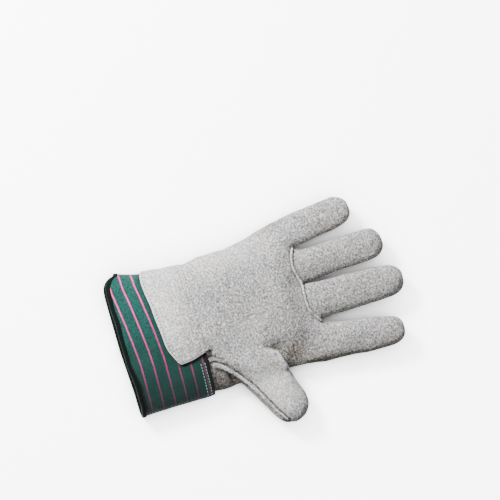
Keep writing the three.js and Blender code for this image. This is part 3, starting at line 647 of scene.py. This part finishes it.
def striped_canvas():
    """Rubberised cotton canvas of safety cuffs: a close plain weave in teal yarn, dull, with
    narrow pink warp stripes parallel to the opening and a dark selvedge at the wrist."""
    palette = colours()
    size = sizes()
    material, tree, shader = new_material("Rubberised canvas", Roughness=0.82, IOR=1.47,
                                          Specular_IOR_Level=0.25,
                                          Sheen_Weight=0.04, Sheen_Roughness=0.5)
    place = add(tree, "ShaderNodeTexCoord", output="Object")
    x, y, z = (add(tree, "ShaderNodeSeparateXYZ", place, output=axis) for axis in "XYZ")
    wander, mottle, cloud = (
        add(tree, "ShaderNodeTexNoise", Vector=place, Scale=1 / (width * MM), Detail=detail,
            Roughness=roughness)
        for width, detail, roughness in ((14, 1, 0.5), (1.7, 3, 0.85), (12, 2, 0.5)))
    # The way in from the opening, which the cloth's give makes waver a little.
    depth = add(tree, "ShaderNodeMath", y, CUFF_MOUTH, operation="SUBTRACT")
    depth = add(tree, "ShaderNodeMath", depth,
                add(tree, "ShaderNodeMapRange", wander, 0.0, 1.0, -0.25 * MM, 0.25 * MM),
                operation="ADD")
    # The stripes bend toward the opening at the little finger's side.
    bend = add(tree, "ShaderNodeMath",
               add(tree, "ShaderNodeMapRange", x, -64 * MM, 6 * MM, 1.0, 0.0), 1.3,
               operation="POWER")
    bend = add(tree, "ShaderNodeMapRange", bend, 0.0, 1.0, 0.0, size.stripe_bend)
    apart = add(tree, "ShaderNodeMath", depth, bend, operation="ADD")
    for operation, number in (
        ("SUBTRACT", size.first_stripe - size.stripe_pitch / 2),
        ("MODULO", size.stripe_pitch),
        ("SUBTRACT", size.stripe_pitch / 2),
        ("ABSOLUTE", 0.0),
    ):
        apart = add(tree, "ShaderNodeMath", apart, number, operation=operation)
    half = size.stripe_width / 2
    pink = add(tree, "ShaderNodeMix",
               add(tree, "ShaderNodeMapRange", mottle, 0.36, 0.6, 0.6, 0.0),
               data_type="RGBA", output=2, _6=palette.stripe, _7=scaled(palette.stripe, 0.4))
    painted_low_shade = add(tree, "ShaderNodeMath",
                add(tree, "ShaderNodeMapRange", z, 9 * MM, 18 * MM, 0.92, 0.0),
                add(tree, "ShaderNodeMapRange", z, 2 * MM, 8 * MM, 0.1, 1.0),
                operation="MULTIPLY")
    mouth_shade = add(tree, "ShaderNodeMath", depth,
              add(tree, "ShaderNodeMapRange", x, -2 * MM, 24 * MM, 2.6 * MM, 8.0 * MM),
              operation="SUBTRACT")
    edge = CUFF_WRIST - CUFF_MOUTH - size.edge_band
    surface = palette.canvas_light
    for share, tone in (
        # Deep green between the yarns and in clouds, beside the stripes, and the stripes.
        (add(tree, "ShaderNodeMapRange", mottle, 0.36, 0.6, 0.95, 0.0), palette.canvas_deep_and_shade),
        (add(tree, "ShaderNodeMapRange", cloud, 0.35, 0.65, 0.25, 0.0), palette.canvas_deep_and_shade),
        (add(tree, "ShaderNodeMapRange", apart, half, half + 0.9 * MM, 0.45, 0.0),
         palette.canvas_deep_and_shade),
        (add(tree, "ShaderNodeMapRange", apart, half, half + 0.25 * MM, 1.0, 0.0), pink),
        # Painted shade toward the thumb's side, on the low sides and beside the tab.
        (add(tree, "ShaderNodeMapRange", x, -50 * MM, 30 * MM, 0.0, 0.88),
         palette.canvas_deep_and_shade),
        (painted_low_shade, palette.canvas_deep_and_shade),
        (add(tree, "ShaderNodeAttribute", attribute_name="shade", output="Fac"),
         palette.canvas_deep_and_shade),
        # Painted shade inside the opening, in the tape's colour and widening toward the thumb's
        # side, and the selvedge.
        (add(tree, "ShaderNodeMapRange", mouth_shade, 0.0, 0.5 * MM, 1.0, 0.0), palette.tape),
        (add(tree, "ShaderNodeMapRange", depth, edge, edge + 0.4 * MM, 0.0, 1.0),
         palette.tape),
    ):
        surface = add(tree, "ShaderNodeMix", share, data_type="RGBA", output=2,
                      _6=surface, _7=tone)
    tree.links.new(surface, shader.inputs["Base Color"])
    # Yarns 0.9 mm apart: the real ones are finer, but wouldn't show at this distance.
    weft, warp = (
        add(tree, "ShaderNodeTexWave", Vector=place, Scale=WAVE / (0.9 * MM), Distortion=0.3,
            wave_type="BANDS", bands_direction=axis, output="Fac")
        for axis in "YX")
    weave = add(tree, "ShaderNodeMath", weft, warp, operation="MULTIPLY")
    bump = add(tree, "ShaderNodeBump", Strength=0.5, Distance=0.25 * MM, Height=weave)
    tree.links.new(bump, shader.inputs["Normal"])
    return material


def binding_tape():
    """Woven cotton binding tape, dark green-black: fine ribs across its width and dull fuzz."""
    tape = colours().tape
    material, tree, shader = new_material("Cotton binding tape", Roughness=0.95, IOR=1.47,
                                          Specular_IOR_Level=0.1,
                                          Sheen_Weight=0.04, Sheen_Roughness=0.5)
    place = add(tree, "ShaderNodeTexCoord", output="Object")
    fuzz = add(tree, "ShaderNodeTexNoise", Vector=place, Scale=1 / (0.9 * MM), Detail=3,
               Roughness=0.7)
    surface = add(tree, "ShaderNodeMix",
                  add(tree, "ShaderNodeMapRange", fuzz, 0.3, 0.7, 0.55, 0.0),
                  data_type="RGBA", output=2, _6=scaled(tape, 1.25), _7=scaled(tape, 0.45))
    tree.links.new(surface, shader.inputs["Base Color"])
    rib = add(tree, "ShaderNodeTexWave", Vector=place, Scale=WAVE / (0.8 * MM),
              Distortion=0.4, wave_type="BANDS", bands_direction="X", output="Fac")
    bump = add(tree, "ShaderNodeBump", Strength=0.5, Distance=0.2 * MM, Height=rib)
    tree.links.new(bump, shader.inputs["Normal"])
    return material


def spun_thread(name, tint):
    """Spun polyester sewing thread: slightly glossy, with dull fuzz and darker twists."""
    material, tree, shader = new_material(name, Roughness=0.6, IOR=1.5,
                                          Specular_IOR_Level=0.3)
    place = add(tree, "ShaderNodeTexCoord", output="Object")
    fuzz = add(tree, "ShaderNodeTexNoise", Vector=place, Scale=1 / (0.4 * MM), Detail=2,
               Roughness=0.6)
    surface = add(tree, "ShaderNodeMix",
                  add(tree, "ShaderNodeMapRange", fuzz, 0.3, 0.7, 0.4, 0.0),
                  data_type="RGBA", output=2, _6=tint, _7=scaled(tint, 0.6))
    tree.links.new(surface, shader.inputs["Base Color"])
    return material


# Operators, one for each piece or group of like pieces.

# The leather panels: the node, the piece, how bright its suede is, lower on the finger fronts,
# the strips and the thumb's back for painted shade, how much of the painted brownish side shade
# lies on its upper skin, and how bluish.
LEATHER = [
    ("palm", "palm_hide", 1.0, 0.0, 0.45),
    ("ring_finger_front", "ring_finger_hide", 0.88, 0.0, 0.2),
    ("middle_finger_front", "middle_finger_hide", 0.86, 0.0, 0.25),
    ("back", "back_hide", 0.95, 0.2, 0.1),
    ("fourchette_index_middle", "index_middle_strip", 0.86, 0.2, 0.0),
    ("fourchette_middle_ring", "middle_ring_strip", 0.86, 0.2, 0.0),
    ("fourchette_ring_little", "ring_little_strip", 0.86, 0.2, 0.0),
    ("thumb_back", "thumb_back_hide", 0.86, 0.45, 0.0),
]


class GLOVE_OT_leather(bpy.types.Operator):
    """Dress the leather panels of the hand"""
    bl_idname = "glove.leather"
    bl_label = "Leather panels"
    bl_options = {"REGISTER", "UNDO"}

    def execute(self, context):
        seams = []
        pieces = {}
        for node, name, *_ in LEATHER:
            pieces[name] = copy_of(node, name)
            seams += [line for line in sharp_edges(pieces[name].data)
                      if line[0].y > TAB_LINE]
        seam_tree = tree_of(seams)
        hem_tree = tree_of(hem_lines(pieces["palm_hide"].data))
        for node, name, light, top_shade, cool in LEATHER:
            piece = pieces[name]
            crease_rims(piece, 0.85)
            smooth(piece, sizes().smoothness)
            if node == "palm":
                refine_folds(piece)
            mark(piece, "seam", lambda p: nearness(seam_tree, p, 1.0 * MM))
            # Painted shade and light of the patches and the folds, above the floor.
            mark(piece, "painted_shading", lambda p: soft_step(*SHADING_HEIGHTS, p.z) * painted_shading_at(p))
            # A painted highlight along the cut edge of the palm's tab.
            mark(piece, "cut", lambda p: nearness(hem_tree, p, 0.9 * MM) * (node == "palm"))
            settle_piece(piece)
            finish(piece, suede(name.replace("_", " ") + " suede", light, top_shade, cool),
                   [node])
        return {"FINISHED"}


class GLOVE_OT_welts(bpy.types.Operator):
    """Dress the leather piping at the finger roots and along the thumb"""
    bl_idname = "glove.welts"
    bl_label = "Leather welts"
    bl_options = {"REGISTER", "UNDO"}

    def execute(self, context):
        leather = suede("Welt suede", 1.35)
        for node, name in (("finger_welt", "finger_piping"), ("thumb_welt", "thumb_piping")):
            piece = copy_of(node, name)
            smooth(piece, 3)
            settle_piece(piece)
            finish(piece, leather, [node])
        return {"FINISHED"}


class GLOVE_OT_cuff(bpy.types.Operator):
    """Dress the striped safety cuff"""
    bl_idname = "glove.cuff"
    bl_label = "Striped cuff"
    bl_options = {"REGISTER", "UNDO"}

    def execute(self, context):
        hem_tree = tree_of(measured("palm", hem_lines))
        piece = copy_of("cuff", "cuff_canvas")
        crease_rims(piece, 0.8)
        smooth(piece, 2)
        # Painted shadow of the tab's hem on the canvas.
        mark(piece, "shade", lambda p: 0.9 * nearness(hem_tree, p, 3 * MM))
        settle_piece(piece)
        finish(piece, striped_canvas(), ["cuff"])
        return {"FINISHED"}


class GLOVE_OT_binding(bpy.types.Operator):
    """Dress the binding of the cuff's opening"""
    bl_idname = "glove.binding"
    bl_label = "Cuff binding"
    bl_options = {"REGISTER", "UNDO"}

    def execute(self, context):
        piece = copy_of("cuff_binding", "cuff_tape")
        crease_rims(piece, 0.4)
        smooth(piece, 2)
        settle_piece(piece)
        hug(piece, surface_of("cuff_canvas"), 0.5 * MM, 0.4)
        finish(piece, binding_tape(), ["cuff_binding"])
        return {"FINISHED"}


class GLOVE_OT_leather_stitches(bpy.types.Operator):
    """Sew the leather tab to the cuff"""
    bl_idname = "glove.leather_stitches"
    bl_label = "Leather stitches"
    bl_options = {"REGISTER", "UNDO"}

    def execute(self, context):
        size = sizes()
        surface = surface_of("palm_hide")
        rim = measured("palm", lambda mesh: rim_of(
            mesh, lambda p: p.y < -62 * MM and p.z > 12 * MM))
        row = [point + way * size.hem_row for point, way in rim]
        places = laid_on(spaced(row, size.leather_pitch), surface)
        grey = spun_thread("Grey polyester thread", colours().grey_thread)
        finish(stitch_row("tab_hem_stitches", places, size.leather_stitch, size.thread), grey)
        for name, y in (("wrist_stitches_lower", -65.0), ("wrist_stitches_upper", -60.6)):
            row = [Vector((x * MM, y * MM, 0)) for x in range(-67, 20)]
            places = laid_on(spaced(row, size.leather_pitch), surface)
            finish(stitch_row(name, places, size.leather_stitch, size.thread), grey)
        return {"FINISHED"}


class GLOVE_OT_back_stitches(bpy.types.Operator):
    """Sew the seam of the index finger on the back of the hand"""
    bl_idname = "glove.back_stitches"
    bl_label = "Back stitches"
    bl_options = {"REGISTER", "UNDO"}

    def execute(self, context):
        size = sizes()
        rim = measured("back", lambda mesh: rim_of(
            mesh, lambda p: p.x > 12 * MM and -30 * MM < p.y < 42 * MM, -1))
        row = [point + way * size.hem_row for point, way in rim]
        places = laid_on(spaced(row, size.back_pitch), surface_of("back_hide"), -UP)
        white = spun_thread("White polyester thread", colours().white_thread)
        finish(stitch_row("back_seam_stitches", places, size.back_stitch, size.thread), white)
        return {"FINISHED"}


class GLOVE_OT_cuff_stitches(bpy.types.Operator):
    """Sew the cuff's wrist edge with its two rows"""
    bl_idname = "glove.cuff_stitches"
    bl_label = "Cuff stitches"
    bl_options = {"REGISTER", "UNDO"}

    def execute(self, context):
        size = sizes()
        surface = surface_of("cuff_canvas")
        mint = spun_thread("Mint polyester thread", colours().mint_thread)
        for name, inset in (("edge_row_stitches", 3.2), ("inner_row_stitches", 6.9)):
            line = [Vector((x * MM, CUFF_WRIST - inset * MM, 0)) for x in range(18, 49)]
            places = laid_on(spaced(line, size.cuff_pitch), surface)
            finish(stitch_row(name, places, size.cuff_stitch, 0.65 * size.thread), mint)
        return {"FINISHED"}


# The lights: name, place, size of the square and power.
LIGHTS = (
    ("key", (-1.05, -0.62, 0.85), 0.35, 94),
    ("fill", (0.9, 0.5, 1.2), 1.2, 3),
    ("top", (-0.6, -0.3, 1.5), 0.8, 8),
)

# The camera looks down at AIM, tilted off the vertical. Its right lies along RIGHT in the
# plan of the glove, and its frame is VIEW_WIDTH wide at the glove.
AIM = Vector((-0.0666, 0.00416, 0.015))
TILT = math.radians(10)
RIGHT = (0.276, 0.961)
VIEW_WIDTH = 0.4475
FOCAL_LENGTH = 150


class GLOVE_OT_stage(bpy.types.Operator):
    """Set the floor, the lights and the camera"""
    bl_idname = "glove.stage"
    bl_label = "Stage"
    bl_options = {"REGISTER", "UNDO"}

    def execute(self, context):
        bpy.ops.object.select_all(action="DESELECT")
        bpy.ops.mesh.primitive_plane_add(size=8, location=(0, 0, -0.3 * MM))
        floor = bpy.context.active_object
        floor.name = "floor"
        white, tree, shader = new_material("White paper sweep", Roughness=0.6)
        shader.inputs["Base Color"].default_value = (*linear("#f6f7f9"), 1)
        shader.inputs["Emission Color"].default_value = (*linear("#fbfcff"), 1)
        # The sweep glows evenly like a light table, and less close around and under the glove,
        # which paints a soft shadow there. It throws no light on the glove.
        near = add(tree, "ShaderNodeAmbientOcclusion", samples=8, Distance=30 * MM,
                   output="AO")
        glow_and_painted_shadow = add(tree, "ShaderNodeMapRange", near, 0.25, 1.0, 0.0, 5.5)
        tree.links.new(glow_and_painted_shadow, shader.inputs["Emission Strength"])
        floor.data.materials.append(white)
        floor.visible_diffuse = False
        for name, place, size, power in LIGHTS:
            bpy.ops.object.select_all(action="DESELECT")
            bpy.ops.object.light_add(type="AREA", location=place)
            lamp = bpy.context.active_object
            lamp.name = name
            lamp.data.size = size
            lamp.data.energy = power
            lamp.rotation_euler = (-Vector(place)).to_track_quat("-Z", "Y").to_euler()
        world = bpy.data.worlds.new("Studio")
        world.use_nodes = True
        air = world.node_tree.nodes["Background"].inputs
        air["Color"].default_value = (1, 1, 1, 1)
        air["Strength"].default_value = 0.2
        context.scene.world = world
        lens = bpy.data.cameras.new("photo_view")
        lens.lens = FOCAL_LENGTH
        lens.clip_end = 20
        camera = bpy.data.objects.new("photo_view", lens)
        context.scene.collection.objects.link(camera)
        back = Vector((0, -math.sin(TILT), math.cos(TILT)))
        right = Vector((RIGHT[0], RIGHT[1] * math.cos(TILT), RIGHT[1] * math.sin(TILT)))
        right.normalize()
        away = VIEW_WIDTH * lens.lens / lens.sensor_width
        turn = Matrix((right, back.cross(right), back)).transposed().to_4x4()
        camera.matrix_world = Matrix.Translation(AIM + back * away) @ turn
        context.scene.camera = camera
        return {"FINISHED"}


STEPS = (GLOVE_OT_stage, GLOVE_OT_leather, GLOVE_OT_welts, GLOVE_OT_cuff, GLOVE_OT_binding,
         GLOVE_OT_leather_stitches, GLOVE_OT_back_stitches, GLOVE_OT_cuff_stitches)


class GLOVE_PT_panel(bpy.types.Panel):
    """Buttons and settings of the glove"""
    bl_idname = "GLOVE_PT_panel"
    bl_label = "Rigger Glove"
    bl_space_type = "VIEW_3D"
    bl_region_type = "UI"
    bl_category = "Glove"

    def draw(self, context):
        column = self.layout.column()
        for step in STEPS:
            column.operator(step.bl_idname)
        for group in (context.scene.glove_sizes, context.scene.glove_colours):
            for key in type(group).__annotations__:
                column.prop(group, key)


CLASSES = (GLOVE_PG_sizes, GLOVE_PG_colours, *STEPS, GLOVE_PT_panel)


def register():
    for item in CLASSES:
        bpy.utils.register_class(item)
    bpy.types.Scene.glove_sizes = PointerProperty(type=GLOVE_PG_sizes)
    bpy.types.Scene.glove_colours = PointerProperty(type=GLOVE_PG_colours)


def unregister():
    del bpy.types.Scene.glove_colours
    del bpy.types.Scene.glove_sizes
    for item in reversed(CLASSES):
        bpy.utils.unregister_class(item)


def main():
    register()
    for step in STEPS:
        family, name = step.bl_idname.split(".")
        getattr(getattr(bpy.ops, family), name)()


if __name__ == "__main__":
    main()
